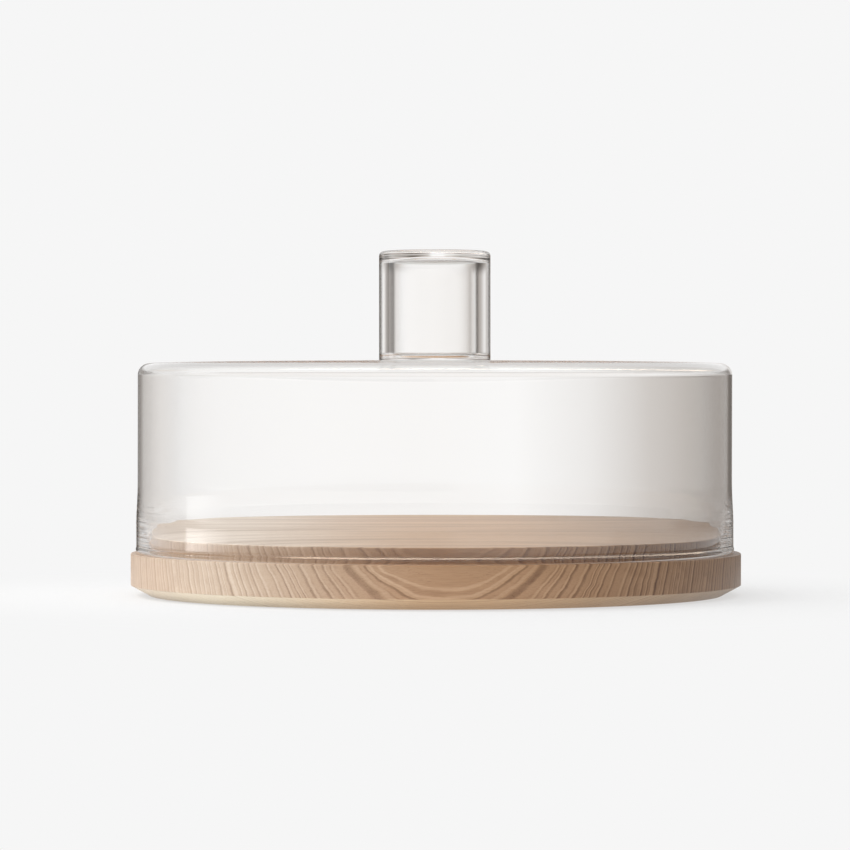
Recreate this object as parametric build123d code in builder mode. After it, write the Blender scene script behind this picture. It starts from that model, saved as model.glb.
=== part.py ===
from build123d import *
import os

# Cheese dome: a turned ash board and the blown glass dome that lifts off it.
# Millimetres, +Z up. The origin is on the turning axis, at the bottom of the board.

# ---- ash board ----
board_radius = 160.0
board_thickness = 30.0
rebate_width = 10.0       # ledge that the glass stands on
rebate_depth = 8.0
undercut_width = 10.0     # slope under the side wall, where fingers reach to lift the board
undercut_height = 5.4
arris_bevel = 0.7         # eased edges of the plateau and of the ledge

plateau_radius = board_radius - rebate_width
foot_radius = board_radius - undercut_width
ledge_z = board_thickness - rebate_depth

# ---- glass drum ----
rim_clearance = 1.75      # radial play between the plateau and the rim
rim_wall = 4.95           # the glass is thickest at its rim
rim_bevel = 1.3
barrel_wall = 2.25        # wall and top plate away from the rim
rim_flare = 1.3           # how far the rim stands outside the barrel
taper_height = 60.0       # the wall thins and draws in over this height above the rim
drum_height = 99.0
shoulder_radius = 6.0
inner_shoulder_bevel = 2.6

rim_inner_radius = plateau_radius + rim_clearance
rim_outer_radius = rim_inner_radius + rim_wall
barrel_radius = rim_outer_radius - rim_flare
barrel_inner_radius = barrel_radius - barrel_wall
taper_z = ledge_z + taper_height
drum_top_z = ledge_z + drum_height
plate_under_z = drum_top_z - barrel_wall

# ---- glass handle ----
handle_radius = 29.35
handle_height = 59.0
handle_wall = 6.75
handle_floor = 3.0
handle_crown = 4.2        # glass over the middle of the bubble
handle_top_radius = 2.8
root_flare = 1.4          # ring of glass pressed out where the handle is fused on
bubble_roof_rise = 2.1    # the bubble's roof is drawn up towards the middle
bubble_crown_radius = 10.0
bubble_corner_bevel = 2.0

bubble_radius = handle_radius - handle_wall
handle_top_z = drum_top_z + handle_height
bubble_floor_z = drum_top_z + handle_floor
bubble_crown_z = handle_top_z - handle_crown
bubble_spring_z = bubble_crown_z - bubble_roof_rise


def corner(profile, radius, z):
    """The corner of a profile at one radius and height."""
    return profile.vertices().sort_by_distance((radius, z))[0]


# The board is turned from one blank: plateau, rebate, side wall and finger undercut.
with BuildPart() as board:
    with BuildSketch(Plane.XZ) as board_profile:
        with BuildLine():
            Polyline(
                (0, 0),
                (foot_radius, 0),
                (board_radius, undercut_height),
                (board_radius, ledge_z),
                (plateau_radius, ledge_z),
                (plateau_radius, board_thickness),
                (0, board_thickness),
                close=True,
            )
        make_face()
        chamfer(corner(board_profile, plateau_radius, board_thickness), arris_bevel)
        chamfer(corner(board_profile, board_radius, ledge_z), arris_bevel)
    revolve(axis=Axis.Z)

# The drum's wall leaves the barrel tangentially on both faces and thickens down to the rim.
with BuildPart() as glass_drum:
    with BuildSketch(Plane.XZ) as drum_profile:
        with BuildLine():
            Line((0, plate_under_z), (barrel_inner_radius, plate_under_z))
            Line((barrel_inner_radius, plate_under_z), (barrel_inner_radius, taper_z))
            TangentArc((barrel_inner_radius, taper_z), (rim_inner_radius, ledge_z), tangent=(0, -1))
            Line((rim_inner_radius, ledge_z), (rim_outer_radius, ledge_z))
            TangentArc((barrel_radius, taper_z), (rim_outer_radius, ledge_z), tangent=(0, -1))
            Line((barrel_radius, taper_z), (barrel_radius, drum_top_z))
            Line((barrel_radius, drum_top_z), (0, drum_top_z))
            Line((0, drum_top_z), (0, plate_under_z))
        make_face()
        fillet(corner(drum_profile, barrel_radius, drum_top_z), shoulder_radius)
        chamfer(corner(drum_profile, barrel_inner_radius, plate_under_z), inner_shoulder_bevel)
        chamfer(corner(drum_profile, rim_outer_radius, ledge_z), rim_bevel)
        chamfer(corner(drum_profile, rim_inner_radius, ledge_z), rim_bevel)
    revolve(axis=Axis.Z)

# The handle is a thick-walled cylinder of glass closed round one large bubble.
with BuildPart() as handle:
    with BuildSketch(Plane.XZ) as handle_profile:
        with BuildLine():
            Polyline(
                (0, drum_top_z),
                (handle_radius + root_flare, drum_top_z),
                (handle_radius, drum_top_z + root_flare),
                (handle_radius, handle_top_z),
                (0, handle_top_z),
                close=True,
            )
        make_face()
        with BuildLine():
            Polyline(
                (0, bubble_floor_z),
                (bubble_radius, bubble_floor_z),
                (bubble_radius, bubble_spring_z),
                (bubble_crown_radius, bubble_crown_z),
                (0, bubble_crown_z),
                close=True,
            )
        make_face(mode=Mode.SUBTRACT)
        fillet(corner(handle_profile, handle_radius, handle_top_z), handle_top_radius)
        chamfer(corner(handle_profile, bubble_radius, bubble_floor_z), bubble_corner_bevel)
        chamfer(corner(handle_profile, bubble_radius, bubble_spring_z), bubble_corner_bevel)
    revolve(axis=Axis.Z)

board.part.label = "board"
glass_drum.part.label = "glass_drum"
handle.part.label = "handle"

os.makedirs("parts", exist_ok=True)
for piece in (board, glass_drum, handle):
    export_step(piece.part, f"parts/{piece.part.label}.step")
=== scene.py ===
import math

import bpy
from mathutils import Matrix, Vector


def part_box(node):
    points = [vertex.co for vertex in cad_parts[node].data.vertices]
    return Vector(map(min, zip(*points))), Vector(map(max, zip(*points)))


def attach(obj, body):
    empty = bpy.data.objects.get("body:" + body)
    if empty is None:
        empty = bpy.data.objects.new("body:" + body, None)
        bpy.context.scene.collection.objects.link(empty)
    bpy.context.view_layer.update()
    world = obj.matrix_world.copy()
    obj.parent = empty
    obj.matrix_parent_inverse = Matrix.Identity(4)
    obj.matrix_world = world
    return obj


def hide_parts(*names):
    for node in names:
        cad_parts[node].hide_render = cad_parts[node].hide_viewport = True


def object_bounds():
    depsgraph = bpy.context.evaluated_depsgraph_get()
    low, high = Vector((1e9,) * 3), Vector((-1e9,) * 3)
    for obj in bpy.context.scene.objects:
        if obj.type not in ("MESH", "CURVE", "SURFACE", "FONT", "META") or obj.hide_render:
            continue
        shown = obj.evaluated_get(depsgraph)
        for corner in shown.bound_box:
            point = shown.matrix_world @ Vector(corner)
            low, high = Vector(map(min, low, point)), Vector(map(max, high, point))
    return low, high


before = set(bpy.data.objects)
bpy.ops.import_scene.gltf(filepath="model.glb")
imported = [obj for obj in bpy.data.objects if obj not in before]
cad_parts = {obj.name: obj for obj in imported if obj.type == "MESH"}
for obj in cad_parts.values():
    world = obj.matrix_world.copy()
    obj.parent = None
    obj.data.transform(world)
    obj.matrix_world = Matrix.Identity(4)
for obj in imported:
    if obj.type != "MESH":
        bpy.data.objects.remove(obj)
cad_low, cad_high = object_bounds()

# The looks of the cheese dome: a turned ash board and the blown glass dome that stands on it.
# Lengths in the profiles are millimetres, as in the CAD; a piece is scaled to metres when it is built.

MM = 0.001
TURN_STEPS = 276
DOME_ASIDE = -0.5  # the dome was put down this far left of the middle, within its 1.75 mm of play

board_low, board_high = (v * 1000 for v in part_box("board"))
drum_low, drum_high = (v * 1000 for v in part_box("glass_drum"))
handle_low, handle_high = (v * 1000 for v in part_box("handle"))


# ---------------------------------------------------------------- turned shapes

def arc(centre, radius, start, end, steps):
    """Points of an arc in the (radius, height) plane, angles in degrees."""
    out = []
    for i in range(steps + 1):
        a = math.radians(start + (end - start) * i / steps)
        out.append((centre[0] + radius * math.cos(a), centre[1] + radius * math.sin(a)))
    return out


def graded(a, b, first=0.12, largest=12.0):
    """Points strictly between a and b, close together near both ends so that the shading stays crisp."""
    length = math.dist(a, b)
    marks, at, step = [], 0.0, first
    while at + step < length / 2:
        at += step
        marks.append(at)
        step = min(step * 1.9, largest)
    places = marks + [length - m for m in reversed(marks)]
    return [(a[0] + (b[0] - a[0]) * p / length, a[1] + (b[1] - a[1]) * p / length) for p in places]


def join_runs(*runs):
    """One profile from runs of points, with graded straight lines between them."""
    out = list(runs[0])
    for run in runs[1:]:
        out += graded(out[-1], run[0])
        out += run if math.dist(out[-1], run[0]) > 1e-6 else run[1:]
    return out


def turn(profiles, shift=None):
    """Vertices and faces of profiles turned about Z. A point on the axis becomes one vertex."""
    verts, faces = [], []
    for profile in profiles:
        rings = []
        for r, z in profile:
            start = len(verts)
            if r < 1e-6:
                verts.append((0.0, 0.0, z))
                rings.append([start] * TURN_STEPS)
                continue
            for i in range(TURN_STEPS):
                a = 2 * math.pi * i / TURN_STEPS
                rr = r + (shift(r, z, a) if shift else 0.0)
                verts.append((rr * math.cos(a), rr * math.sin(a), z))
            rings.append(list(range(start, start + TURN_STEPS)))
        for lower, upper in zip(rings, rings[1:]):
            for i in range(TURN_STEPS):
                j = (i + 1) % TURN_STEPS
                quad = []
                for v in (lower[i], lower[j], upper[j], upper[i]):
                    if v not in quad:
                        quad.append(v)
                faces.append(quad)
    return verts, faces


def turned_piece(name, profiles, material, shift=None, aside=0.0):
    verts, faces = turn(profiles, shift)
    mesh = bpy.data.meshes.new(name)
    mesh.from_pydata([((x + aside) * MM, y * MM, z * MM) for x, y, z in verts], [], faces)
    mesh.validate()
    mesh.polygons.foreach_set("use_smooth", [True] * len(mesh.polygons))
    mesh.materials.append(material)
    mesh.update()
    piece = bpy.data.objects.new(name, mesh)
    bpy.context.scene.collection.objects.link(piece)
    return piece


# ---------------------------------------------------------------- node helper

class Nodes:
    """Short calls for building a node tree."""

    def __init__(self, tree):
        self.tree = tree
        tree.nodes.clear()

    def add(self, kind, links=(), **values):
        node = self.tree.nodes.new(kind)
        for key, value in values.items():
            setattr(node, key, value)
        for socket, value in dict(links).items():
            target = node.inputs[socket]
            if isinstance(value, bpy.types.NodeSocket):
                self.tree.links.new(value, target)
            else:
                target.default_value = value
        return node

    def math(self, operation, *values):
        node = self.add("ShaderNodeMath", operation=operation)
        for i, value in enumerate(values):
            if isinstance(value, bpy.types.NodeSocket):
                self.tree.links.new(value, node.inputs[i])
            else:
                node.inputs[i].default_value = value
        return node.outputs[0]

    def smooth(self, value, low, high, to_low=0.0, to_high=1.0):
        """Smoothstep of a value between two levels."""
        node = self.add("ShaderNodeMapRange", interpolation_type="SMOOTHSTEP", clamp=True)
        for key, given in (("Value", value), ("From Min", low), ("From Max", high),
                           ("To Min", to_low), ("To Max", to_high)):
            if isinstance(given, bpy.types.NodeSocket):
                self.tree.links.new(given, node.inputs[key])
            else:
                node.inputs[key].default_value = given
        return node.outputs[0]

    def ramp(self, value, stops):
        """A colour ramp through (place, colour) stops."""
        node = self.add("ShaderNodeValToRGB")
        node.color_ramp.interpolation = "LINEAR"
        elements = node.color_ramp.elements
        while len(elements) > 1:
            elements.remove(elements[-1])
        for i, (place, colour) in enumerate(stops):
            element = elements[0] if i == 0 else elements.new(place)
            element.position = place
            element.color = tuple(colour) + (1.0,)
        self.tree.links.new(value, node.inputs[0])
        return node.outputs[0]

    def mix(self, factor, a, b, blend="MIX"):
        node = self.add("ShaderNodeMix", data_type="RGBA", blend_type=blend)
        for index, given in ((0, factor), (6, a), (7, b)):
            if isinstance(given, bpy.types.NodeSocket):
                self.tree.links.new(given, node.inputs[index])
            elif index == 0:
                node.inputs[index].default_value = given
            else:
                node.inputs[index].default_value = tuple(given) + (1.0,)
        return node.outputs[2]


# ---------------------------------------------------------------- glass

def glass_material():
    material = bpy.data.materials.new("clear_glass")
    material.use_nodes = True
    n = Nodes(material.node_tree)
    place = n.add("ShaderNodeTexCoord").outputs["Object"]
    height = n.add("ShaderNodeSeparateXYZ", {0: place}).outputs[2]
    # painted shade: the glass of the handle is darkened where it is seen edge-on, along its edges
    facing = n.add("ShaderNodeLayerWeight", {"Blend": 0.5}).outputs["Facing"]
    painted_edge_shade = n.math("MULTIPLY", n.smooth(facing, 0.60, 0.76), n.smooth(height, 0.1215, 0.1235))
    tint = n.mix(painted_edge_shade, (0.99, 0.988, 0.984), (0.20, 0.19, 0.18))
    glass = n.add("ShaderNodeBsdfPrincipled", {
        "Base Color": tint, "Roughness": 0.0, "IOR": 1.5, "Transmission Weight": 1.0})
    # lamps shine through: the thin wall passes nearly all of their light, and the rim in its ledge of wood warms it
    passed = n.mix(n.smooth(height, 0.0235, 0.030), (0.98, 0.84, 0.70), (0.94, 0.94, 0.94))
    clear = n.add("ShaderNodeBsdfTransparent", {"Color": passed})
    path = n.add("ShaderNodeLightPath")
    through = n.math("MAXIMUM", path.outputs["Is Shadow Ray"], path.outputs["Is Diffuse Ray"])
    mixed = n.add("ShaderNodeMixShader", {0: through})
    n.tree.links.new(glass.outputs[0], mixed.inputs[1])
    n.tree.links.new(clear.outputs[0], mixed.inputs[2])
    n.add("ShaderNodeOutputMaterial", {"Surface": mixed.outputs[0]})
    return material


def glass_shift(r, z, a):
    """How far the hand-blown surface stands off the true turned form, in mm."""
    swell = 0.05 * math.sin(2 * a + 0.7) + 0.04 * math.sin(3 * a + z * 0.05 + 2.1)
    # the rim was spun out by hand, which left fine rings in the outer skin, deepest at the two sides
    near_rim = math.exp(-((z - 41.0) / 9.0) ** 2)
    sides = math.cos(a) ** 2
    sides = sides ** 6 * (1.0 if math.cos(a) < 0 else 0.8)
    ripple = 0.06 * math.sin(2 * math.pi * z / 2.7 + 1.3 * math.sin(2 * a + 0.4) + 0.8 * math.sin(z * 0.9))
    ripple *= near_rim * sides if r > 154.0 else 0.0
    return swell * min(1.0, r / 60.0) + ripple


def glass_profiles():
    ledge_z = drum_low.z
    drum_top = handle_low.z
    top = handle_high.z
    rim_outer, rim_thick = 156.4, 4.6
    barrel, barrel_thick = 155.7, 2.3
    taper_z = ledge_z + 35.4
    flare_height = 20.0
    rim_round = 2.1
    bead = 0.3
    shoulder, inner_shoulder = 6.0, 3.7
    under = drum_top - barrel_thick
    handle_r, root = 29.3, 1.0
    corner, soft = 2.2, 2.6

    # the wall swings out over its first part below the barrel, and thickens all the way down to the rim
    bead_z = ledge_z + 3.5
    foot_z = ledge_z + rim_round
    flare, taper = [], []
    for i in range(41):
        z = taper_z + (bead_z - taper_z) * i / 40
        t = min(1.0, (taper_z - z) / flare_height)
        outer = barrel + (rim_outer - barrel) * t * t * (3 - 2 * t)
        thick = barrel_thick + (rim_thick - barrel_thick) * ((taper_z - z) / (taper_z - foot_z)) ** 2
        flare.append((outer, z))
        taper.append((outer - thick, z))
    foot_outer = rim_outer + bead
    foot_inner = rim_outer - rim_thick
    skin = join_runs(
        [(0.0, top)],
        [(handle_r - corner + x * corner, top - soft + z * soft)
         for x, z in arc((0.0, 0.0), 1.0, 90, 0, 12)],
        arc((handle_r + root, drum_top + root), root, 180, 270, 8),
        arc((barrel - shoulder, drum_top - shoulder), shoulder, 90, 0, 18),
        flare,
        # fire polishing left a fine bead just above the rounded foot
        [(rim_outer + 0.01, bead_z - 0.1)],
        [(foot_outer, foot_z + 0.3)],
        arc((foot_outer - rim_round, foot_z), rim_round, 0, -90, 10),
        arc((foot_inner + rim_round, foot_z), rim_round, -90, -180, 10),
        taper[::-1],
        arc((barrel - barrel_thick - inner_shoulder, under - inner_shoulder), inner_shoulder, 0, 90, 14),
        [(0.0, under)],
    )
    bubble_r = 22.6
    floor_z = drum_top + 2.5
    spring_z = top - 5.0
    crown_z = top - 3.0
    floor_round, roof_round = 3.0, 1.4
    roof_r = bubble_r - roof_round * 0.93
    rise = crown_z - spring_z
    dome_r = (roof_r ** 2 + rise ** 2) / (2 * rise)
    turns = [math.asin(roof_r / dome_r) * i / 12 for i in range(12, -1, -1)]
    roof = [(dome_r * math.sin(t), crown_z - dome_r * (1 - math.cos(t))) for t in turns]
    bubble = join_runs(
        [(0.0, floor_z)],
        arc((bubble_r - floor_round, floor_z + floor_round), floor_round, -90, 0, 10),
        arc((bubble_r - roof_round, spring_z - roof_round), roof_round, 0, 78, 10),
        roof[1:],
    )
    return skin, bubble


# ---------------------------------------------------------------- ash

def ash_material():
    material = bpy.data.materials.new("oiled_ash")
    material.use_nodes = True
    n = Nodes(material.node_tree)
    place = n.add("ShaderNodeTexCoord").outputs["Object"]
    turned = n.add("ShaderNodeVectorRotate", {"Vector": place, "Angle": math.radians(-1.8)},
                   rotation_type="Z_AXIS")
    xyz = n.add("ShaderNodeSeparateXYZ", {0: turned.outputs[0]}).outputs
    u = n.math("MULTIPLY", xyz[0], 1000.0)
    v = n.math("MULTIPLY", xyz[1], 1000.0)
    w = n.math("MULTIPLY", xyz[2], 1000.0)

    def stretched(su, sv, sw, detail=2.0, rough=0.5, offset=0.0):
        """Noise whose lumps measure su, sv, sw millimetres along, across and up the board."""
        vector = n.add("ShaderNodeCombineXYZ", {
            0: n.math("DIVIDE", u, su), 1: n.math("DIVIDE", v, sv),
            2: n.math("ADD", n.math("DIVIDE", w, sw), offset)})
        node = n.add("ShaderNodeTexNoise", {"Vector": vector.outputs[0], "Scale": 1.0,
                                            "Detail": detail, "Roughness": rough})
        return node.outputs["Fac"]

    # the tree's rings are cylinders about its pith, which lay in front of the board and above it
    pith_v, pith_w = -427.0, 86.0
    across = n.math("ADD", v, -pith_v)
    above = n.math("ADD", w, -pith_w)
    reach = n.math("SQRT", n.math("ADD", n.math("MULTIPLY", across, across), n.math("MULTIPLY", above, above)))
    wander = n.math("MULTIPLY", n.math("SUBTRACT", stretched(260.0, 40.0, 26.0, 2.0), 0.5), 3.4)
    waver = n.math("MULTIPLY", n.math("SUBTRACT", stretched(18.0, 6.0, 5.0, 2.0, 0.5, 5.0), 0.5), 0.9)
    s = n.math("ADD", n.math("ADD", reach, wander), waver)
    uneven = n.add("ShaderNodeTexNoise", {"W": n.math("DIVIDE", s, 7.0), "Scale": 1.0, "Detail": 2.0},
                   noise_dimensions="1D").outputs["Fac"]
    # rings are a little over 2 mm wide in front and grow wider away from the pith
    grown = n.math("ADD", s, n.math("MULTIPLY", n.math("SUBTRACT", uneven, 0.5), 5.0))
    first_ring, rings = 275.0, 125.0  # the first ring is first_ring from the pith and first_ring / rings wide
    phase = n.math("MULTIPLY", n.math("LOGARITHM", n.math("DIVIDE", grown, first_ring), math.e), rings)
    ring = n.math("FRACT", phase)
    tone = n.add("ShaderNodeTexWhiteNoise", {"W": n.math("FLOOR", phase)}, noise_dimensions="1D").outputs["Value"]

    # a year: a sharp dark line of early pores, plain late wood, and a pale line before the next
    early = n.math("MULTIPLY", n.smooth(ring, 0.0, 0.07), n.smooth(ring, 0.32, 0.11))
    pale = n.math("MULTIPLY", n.smooth(ring, 0.66, 0.84), n.smooth(ring, 1.0, 0.95))
    fine = n.math("SINE", n.math("MULTIPLY", grown, 2 * math.pi / 1.15))
    patchy = n.smooth(stretched(30.0, 5.0, 5.0, 1.0, 0.5, 23.0), 0.4, 0.65)
    fine = n.math("MULTIPLY", n.smooth(fine, 0.2, 0.9), patchy)
    strength = n.math("MULTIPLY_ADD", tone, 0.65, 0.35)
    # the saw met one wide plain year in the middle of the front; two pale lines bound it
    in_rings = n.smooth(s, 277.6, 278.1)
    # the underside, below the edge of the undercut: it takes weaker ring lines, and painted bounce light from the
    # floor in its colour
    foot = n.smooth(w, 5.6, 5.2)
    drawn = n.math("MULTIPLY", in_rings, n.math("MULTIPLY_ADD", foot, -0.65, 1.0))
    drawn = n.math("MULTIPLY", drawn, n.smooth(u, 0.0, 150.0, 0.65, 1.75))
    bounds = n.math("MAXIMUM", *[n.smooth(n.math("ABSOLUTE", n.math("SUBTRACT", s, at)), wide, 0.08)
                                 for at, wide in ((278.0, 0.34), (279.1, 0.26))])
    fibre = stretched(24.0, 0.45, 0.45, 3.0, 0.6, 3.0)
    pores = n.smooth(stretched(9.0, 0.25, 0.25, 1.0, 0.5, 9.0), 0.58, 0.68)
    broad = stretched(170.0, 26.0, 18.0, 1.0, 0.5, 17.0)
    streak = n.smooth(stretched(170.0, 12.0, 7.0, 3.0, 0.6, 31.0), 0.45, 0.68)
    streak = n.math("MULTIPLY", streak, n.smooth(w, 29.2, 29.8))

    body = n.mix(n.smooth(broad, 0.35, 0.65), (0.30, 0.172, 0.088), (0.34, 0.204, 0.113))
    # painted sheen: the colour pales towards the left, where the key lamp's light glances off the wood
    body = n.mix(n.smooth(u, 0.0, -120.0, 0.0, 0.52), body, (0.46, 0.425, 0.365))
    # the far left end is then darkened
    body = n.mix(n.smooth(u, -110.0, -165.0, 0.0, 0.9), body, (0.80, 0.72, 0.66), "MULTIPLY")
    # painted shade: the colour darkens towards the right, the side turned away from the key lamp
    body = n.mix(n.smooth(u, 20.0, 160.0, 0.0, 0.78), body, (0.12, 0.066, 0.034))
    dark = n.math("MULTIPLY", n.math("MULTIPLY", early, strength), n.math("MULTIPLY", drawn, 0.8))
    body = n.mix(dark, body, (0.42, 0.33, 0.27), "MULTIPLY")
    body = n.mix(n.math("MULTIPLY", fine, n.math("MULTIPLY", drawn, 0.6)), body, (0.68, 0.60, 0.54), "MULTIPLY")
    light = n.math("MAXIMUM", n.math("MULTIPLY", n.math("MULTIPLY", pale, drawn), 0.75), bounds)
    body = n.mix(light, body, (1.25, 1.34, 1.45), "MULTIPLY")
    # the flat of the board is painted paler and whiter than its edge: a painted sheen from the bright surroundings,
    # which its face catches at a low angle; fine brown streaks of grain run in it
    body = n.mix(n.smooth(w, 29.6, 29.9), body, (1.54, 1.67, 1.82), "MULTIPLY")
    body = n.mix(streak, body, (0.70, 0.64, 0.58), "MULTIPLY")
    body = n.mix(n.smooth(fibre, 0.42, 0.62, 0.0, 0.5), body, (0.84, 0.79, 0.74), "MULTIPLY")
    in_pores = n.math("MULTIPLY", n.math("MULTIPLY", pores, n.math("MULTIPLY_ADD", early, 0.7, 0.3)), 0.6)
    body = n.mix(in_pores, body, (0.5, 0.42, 0.36), "MULTIPLY")
    # painted bounce light: the undercut is paler where light from the white floor below would fall on it
    body = n.mix(foot, body, (1.22, 1.36, 1.38), "MULTIPLY")
    height = n.math("SUBTRACT", n.math("MULTIPLY", fibre, 0.4), in_pores)
    bump = n.add("ShaderNodeBump", {"Height": height, "Strength": 0.25, "Distance": 0.0002})
    roughness = n.math("MULTIPLY_ADD", early, 0.10, 0.38)
    surface = n.add("ShaderNodeBsdfPrincipled", {
        "Base Color": body, "Roughness": roughness, "IOR": 1.5,
        "Sheen Weight": 0.06, "Sheen Roughness": 0.4, "Sheen Tint": (1.0, 0.96, 0.9, 1.0),
        "Normal": bump.outputs["Normal"]})
    n.add("ShaderNodeOutputMaterial", {"Surface": surface.outputs[0]})
    return material


def board_profile():
    top = board_high.z
    side, plateau, foot = 159.88, 150.0, 150.0
    ledge = drum_low.z
    undercut = 5.4
    ease, small = 0.7, 0.35
    return join_runs(
        [(0.0, 0.0)],
        [(foot - 0.3, 0.0), (foot, 0.03)],
        [(side - 0.25, undercut - 0.14), (side - 0.07, undercut), (side, undercut + 0.2)],
        arc((side - ease, ledge - ease), ease, 0, 90, 8),
        arc((plateau + small, ledge + small), small, 270, 180, 5),
        arc((plateau - ease, top - ease), ease, 0, 90, 8),
        [(0.0, top)],
    )


# ---------------------------------------------------------------- stage and light

PAGE = 0.922  # the page's white, linear

# where one band of the surroundings gives way to the next, as the upward part of a ray's direction
HIGHER = (0.0115, 0.0130)
HIGHEST = (0.0362, 0.0396)
LOWER = (-0.0215, -0.0270)


def seen_by_eye(n):
    """1 for camera, glossy and transmitted rays, and 0 for the light that falls on surfaces."""
    path = n.add("ShaderNodeLightPath")
    seen = n.math("MAXIMUM", path.outputs["Is Camera Ray"], path.outputs["Is Glossy Ray"])
    return n.math("MAXIMUM", seen, path.outputs["Is Transmission Ray"]), path


def warm(level):
    """A studio grey: neutral when bright and slightly warm when dark."""
    short = max(0.0, 1.0 - level)
    return level * (1.0 + 0.15 * short), level, level * (1.0 - 0.12 * short)


def by_azimuth(n, turn_share, stops):
    """A grey that changes with azimuth; stops are (degrees from straight behind, right positive, level)."""
    peak = max(level for _, level in stops)
    places = [((angle + 180.0) / 360.0, [c / peak for c in warm(level)]) for angle, level in stops]
    return n.mix(1.0, n.ramp(turn_share, places), (peak,) * 3, "MULTIPLY")


def build_world():
    world = bpy.data.worlds.new("studio")
    bpy.context.scene.world = world
    world.use_nodes = True
    n = Nodes(world.node_tree)
    xyz = n.add("ShaderNodeSeparateXYZ", {0: n.add("ShaderNodeTexCoord").outputs["Generated"]}).outputs
    turn_share = n.math("MULTIPLY_ADD", n.math("ARCTAN2", xyz[0], xyz[1]), 1 / (2 * math.pi), 0.5)
    rise = xyz[2]
    away = n.math("MAXIMUM", n.smooth(rise, 0.10, 0.18), n.smooth(rise, -0.10, -0.16))  # away from the horizon

    # through the drum: a white window straight behind. At its left a grey flag (-18) and a soft light (-40), at its
    # right a black flag (13 to 18), a soft light (37) and a second black flag (52), and a pale room closes the round
    through = by_azimuth(n, turn_share, [
        (-180, 1.0), (-60, 0.6), (-40, 0.8), (-18, 0.35), (-11, 0.65), (-7.5, 0.7),
        (-5.5, 1.0), (0, 0.95), (2, 1.0),
        (4.5, 0.55), (9, 0.3), (13, 0.1), (18, 0.1), (25, 0.3), (37, 0.45), (52, 0.05), (70, 0.4), (130, 1.0),
        (180, 1.1)])
    # through the handle, a little higher: the window is wider, a second one (28) stands at its right, and there are
    # dark flags at the left (-70 to -40) and at the right (61 to 70)
    higher = by_azimuth(n, turn_share, [
        (-180, 1.4), (-100, 1.25), (-70, 0.05), (-55, 0.2), (-40, 0.2), (-32, 0.35), (-22, 0.8),
        (-13, 0.95), (-7, 0.9), (6, 0.85), (12, 0.7),
        (16, 0.5), (20, 0.8), (28, 0.9), (48, 0.4), (54, 0.35), (61, 0.05), (70, 0.05), (100, 1.25), (180, 1.4)])
    # through the top of the handle: the window alone, which fades into dark at both sides
    highest = by_azimuth(n, turn_share, [
        (-180, 0.5), (-100, 0.2), (-60, 0.05), (-50, 0.05), (-40, 0.15), (-16, 0.6),
        (-8, 0.95), (8, 0.95),
        (14, 0.6), (23, 0.35), (45, 0.1), (60, 0.05), (130, 0.05), (180, 0.2)])
    through = n.mix(n.smooth(rise, *HIGHER), through, higher)
    through = n.mix(n.smooth(rise, *HIGHEST), through, highest)
    # steeply down through the foot of the drum, the table is white but for the shade of the same flags
    steep = by_azimuth(n, turn_share, [
        (-180, 0.95), (-80, 0.95), (-72, 0.3), (-62, 0.1), (-45, 0.2), (-30, 0.5), (-15, 0.7), (-5, 0.95),
        (2, 0.95), (5, 0.5), (10, 0.35), (30, 0.35), (44, 0.2), (54, 0.1), (70, 0.1), (80, 0.95), (180, 0.95)])
    below = n.mix(n.smooth(rise, -0.2, -0.3), steep, (0.95, 0.95, 0.95))
    beyond = n.mix(n.smooth(rise, 0.1, -0.05), (0.7, 0.69, 0.68), below)
    through = n.mix(away, through, beyond)

    # mirrored in the drum: a broad panel at the left (-50) and a narrow one straight behind, between black flags
    mirrored = by_azimuth(n, turn_share, [
        (-180, 0.65), (-70, 0.8), (-50, 0.95), (-35, 0.75), (-18, 0.05), (-11, 0.05),
        (-2, 0.55), (3, 0.6),
        (12, 0.1), (25, 0.25), (45, 0.15), (100, 0.45), (180, 0.8)])
    # in the handle and the flare of the drum: the same panels higher up, and at the left a bright soft box
    raised = by_azimuth(n, turn_share, [
        (-180, 0.8), (-95, 0.75), (-84, 1.7), (-80, 2.0), (-72, 2.0), (-70, 0.8), (-52, 0.95), (-44, 0.7),
        (-37, 0.05), (-10, 0.05), (-5, 0.4), (3, 0.6), (8, 0.8), (13, 0.7), (20, 0.05), (41, 0.05), (50, 0.2),
        (100, 0.45), (180, 0.7)])
    # and close below the horizon, a panel in front at the right
    lower = by_azimuth(n, turn_share, [
        (-180, 0.2), (-114, 0.25), (-110, 0.6), (-97, 0.75), (-74, 0.85), (-34, 1.0), (-23, 0.5), (-16, 0.05),
        (-7, 0.25), (4, 0.55), (13, 0.15), (60, 0.15), (100, 0.25), (108, 0.3), (112, 0.7), (170, 0.7), (176, 0.25),
        (180, 0.2)])
    mirrored = n.mix(n.smooth(rise, *HIGHER), mirrored, raised)
    mirrored = n.mix(n.smooth(rise, *LOWER), mirrored, lower)
    # the soft box, which also shows there
    box = by_azimuth(n, turn_share, [
        (-180, 0.0), (-97, 0.0), (-85, 2.4), (-80, 3.6), (-72, 3.6), (-70, 0.0), (180, 0.0)])
    box = n.mix(n.smooth(rise, -0.018, -0.036), (0.0, 0.0, 0.0), box)
    mirrored = n.mix(1.0, mirrored, box, "ADD")
    around = n.mix(n.smooth(rise, 0.2, 0.75), (0.95, 0.95, 0.95), (0.55, 0.55, 0.55))
    mirrored = n.mix(away, mirrored, around)
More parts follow.
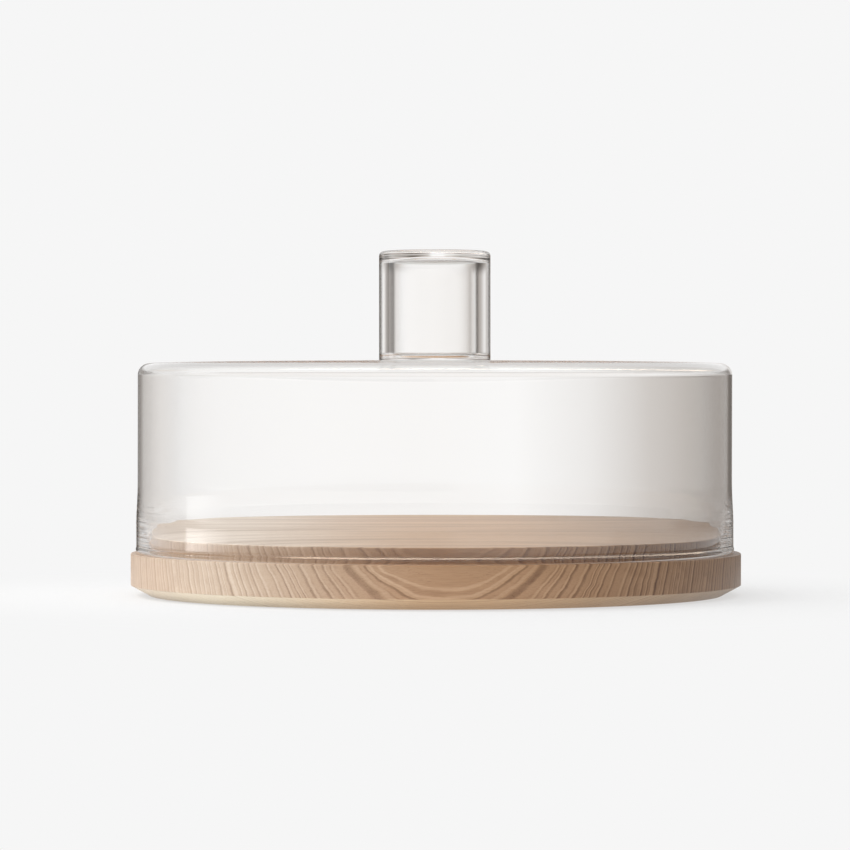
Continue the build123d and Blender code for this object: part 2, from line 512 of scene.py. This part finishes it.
    # a strip light arches over the front from left to right; the bead above the foot of the glass mirrors it
    facing = n.math("SQRT", n.math("MULTIPLY_ADD", xyz[1], -0.5, 0.5))
    off = n.math("ABSOLUTE", n.math("SUBTRACT", n.math("MULTIPLY_ADD", facing, -0.60, rise), -0.04))
    strip = n.math("MULTIPLY", n.smooth(off, 0.055, 0.035), n.smooth(rise, 0.18, 0.22))
    strip_level = by_azimuth(n, turn_share, [
        (-180, 12.0), (-130, 12.0), (-112, 0.9), (40, 0.9), (56, 5.0), (100, 8.0), (140, 12.0), (180, 12.0)])
    strip_level = n.mix(1.0, strip_level, (1.0, 0.84, 0.68), "MULTIPLY")
    mirrored = n.mix(strip, mirrored, strip_level)

    seen, path = seen_by_eye(n)
    eye = n.mix(path.outputs["Is Transmission Ray"], mirrored, through)
    eye = n.mix(path.outputs["Is Camera Ray"], eye, (PAGE,) * 3)
    ambient = n.mix(n.smooth(xyz[0], -0.9, 0.9), (0.55, 0.55, 0.55), (0.10, 0.10, 0.10))
    ambient = n.mix(n.smooth(xyz[1], 0.3, 0.95), ambient, (0.8, 0.8, 0.8))
    ambient = n.mix(n.smooth(rise, 0.35, 0.95), ambient, (1.4, 1.4, 1.4))
    colour = n.mix(seen, ambient, eye)
    n.add("ShaderNodeOutputWorld", {"Surface": n.add("ShaderNodeBackground", {"Color": colour}).outputs[0]})


def floor_material(radius):
    material = bpy.data.materials.new("pale_floor")
    material.use_nodes = True
    n = Nodes(material.node_tree)
    seen, path = seen_by_eye(n)
    xyz = n.add("ShaderNodeSeparateXYZ", {0: n.add("ShaderNodeTexCoord").outputs["Object"]}).outputs
    away = n.math("SQRT", n.math("ADD", n.math("MULTIPLY", xyz[0], xyz[0]), n.math("MULTIPLY", xyz[1], xyz[1])))
    keep = n.smooth(away, radius * 0.40, radius * 0.95, 0.25, 0.0)
    plain = n.add("ShaderNodeBsdfDiffuse", {"Color": (0.86, 0.86, 0.86, 1.0)})
    # the glow makes up for the lamp light that the diffuse share lacks, so that open floor is the page's white
    lit = n.math("MULTIPLY_ADD", xyz[0], -0.55, 1.34)
    level = n.math("DIVIDE", n.math("SUBTRACT", PAGE, n.math("MULTIPLY", keep, lit)), n.math("SUBTRACT", 1.0, keep))
    glow = n.add("ShaderNodeEmission", {"Strength": level})
    shown = n.add("ShaderNodeMixShader", {0: keep})
    n.tree.links.new(glow.outputs[0], shown.inputs[1])
    n.tree.links.new(plain.outputs[0], shown.inputs[2])
    table = n.add("ShaderNodeAddShader", {0: plain.outputs[0],
                                          1: n.add("ShaderNodeEmission", {"Strength": 0.7}).outputs[0]})
    both = n.add("ShaderNodeMixShader", {0: seen})
    n.tree.links.new(table.outputs[0], both.inputs[1])
    n.tree.links.new(shown.outputs[0], both.inputs[2])
    # a ray that comes through the glass goes on to the world, which shows it the white table and its shades
    whole = n.add("ShaderNodeMixShader", {0: path.outputs["Is Transmission Ray"]})
    n.tree.links.new(both.outputs[0], whole.inputs[1])
    n.tree.links.new(n.add("ShaderNodeBsdfTransparent").outputs[0], whole.inputs[2])
    n.add("ShaderNodeOutputMaterial", {"Surface": whole.outputs[0]})
    return material


def build_floor():
    radius = 0.34
    steps = 96
    verts = [(0, 0, 0)] + [(radius * math.cos(2 * math.pi * i / steps), radius * math.sin(2 * math.pi * i / steps), 0)
                           for i in range(steps)]
    faces = [(0, i + 1, (i + 1) % steps + 1) for i in range(steps)]
    mesh = bpy.data.meshes.new("floor")
    mesh.from_pydata(verts, [], faces)
    mesh.materials.append(floor_material(radius))
    floor = bpy.data.objects.new("floor", mesh)
    floor.location.z = cad_low[2] - 0.0002
    bpy.context.scene.collection.objects.link(floor)


def area_lamp(name, place, target, width, height, power):
    """A soft lamp that lights the wood and the floor but is not seen in the glass."""
    lamp = bpy.data.lights.new(name, "AREA")
    lamp.shape = "RECTANGLE"
    lamp.size, lamp.size_y, lamp.energy = width, height, power
    holder = bpy.data.objects.new(name, lamp)
    holder.location = place
    holder.rotation_euler = (Vector(target) - Vector(place)).to_track_quat("-Z", "Y").to_euler()
    holder.visible_camera = False
    holder.visible_glossy = False
    holder.visible_transmission = False
    bpy.context.scene.collection.objects.link(holder)


def build_camera():
    lens = bpy.data.cameras.new("camera")
    lens.lens, lens.sensor_width = 154.3, 36.0
    lens.clip_start, lens.clip_end = 0.05, 20.0
    camera = bpy.data.objects.new("camera", lens)
    camera.location = (0.0, -1.915, 0.0983)
    aim = Vector((-0.00568, 0.0, 0.0888))
    camera.rotation_euler = (aim - camera.location).to_track_quat("-Z", "Y").to_euler()
    bpy.context.scene.collection.objects.link(camera)
    bpy.context.scene.camera = camera


# ---------------------------------------------------------------- the object

build_camera()

ash = ash_material()
board = turned_piece("ash_board", [board_profile()[::-1]], ash)
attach(board, "board")
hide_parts("board")

skin, bubble = glass_profiles()
dome = turned_piece("glass_dome", [skin[::-1], bubble[::-1]], glass_material(), glass_shift, DOME_ASIDE)
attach(dome, "dome")
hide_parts("glass_drum", "handle")

build_floor()
build_world()
area_lamp("key", place=(-0.64, -0.06, 0.50), target=(0.0, 0.0, 0.03), width=0.5, height=0.5, power=7.0)
area_lamp("front", place=(0.1, -1.2, 0.75), target=(0.0, 0.0, 0.0), width=0.9, height=0.5, power=1.0)

scene = bpy.context.scene
scene.view_settings.view_transform = "Standard"
# light runs a long way inside the glass, so paths may be long
scene.cycles.max_bounces = 256
scene.cycles.transmission_bounces = 256
scene.cycles.glossy_bounces = 256
scene.cycles.transparent_max_bounces = 16
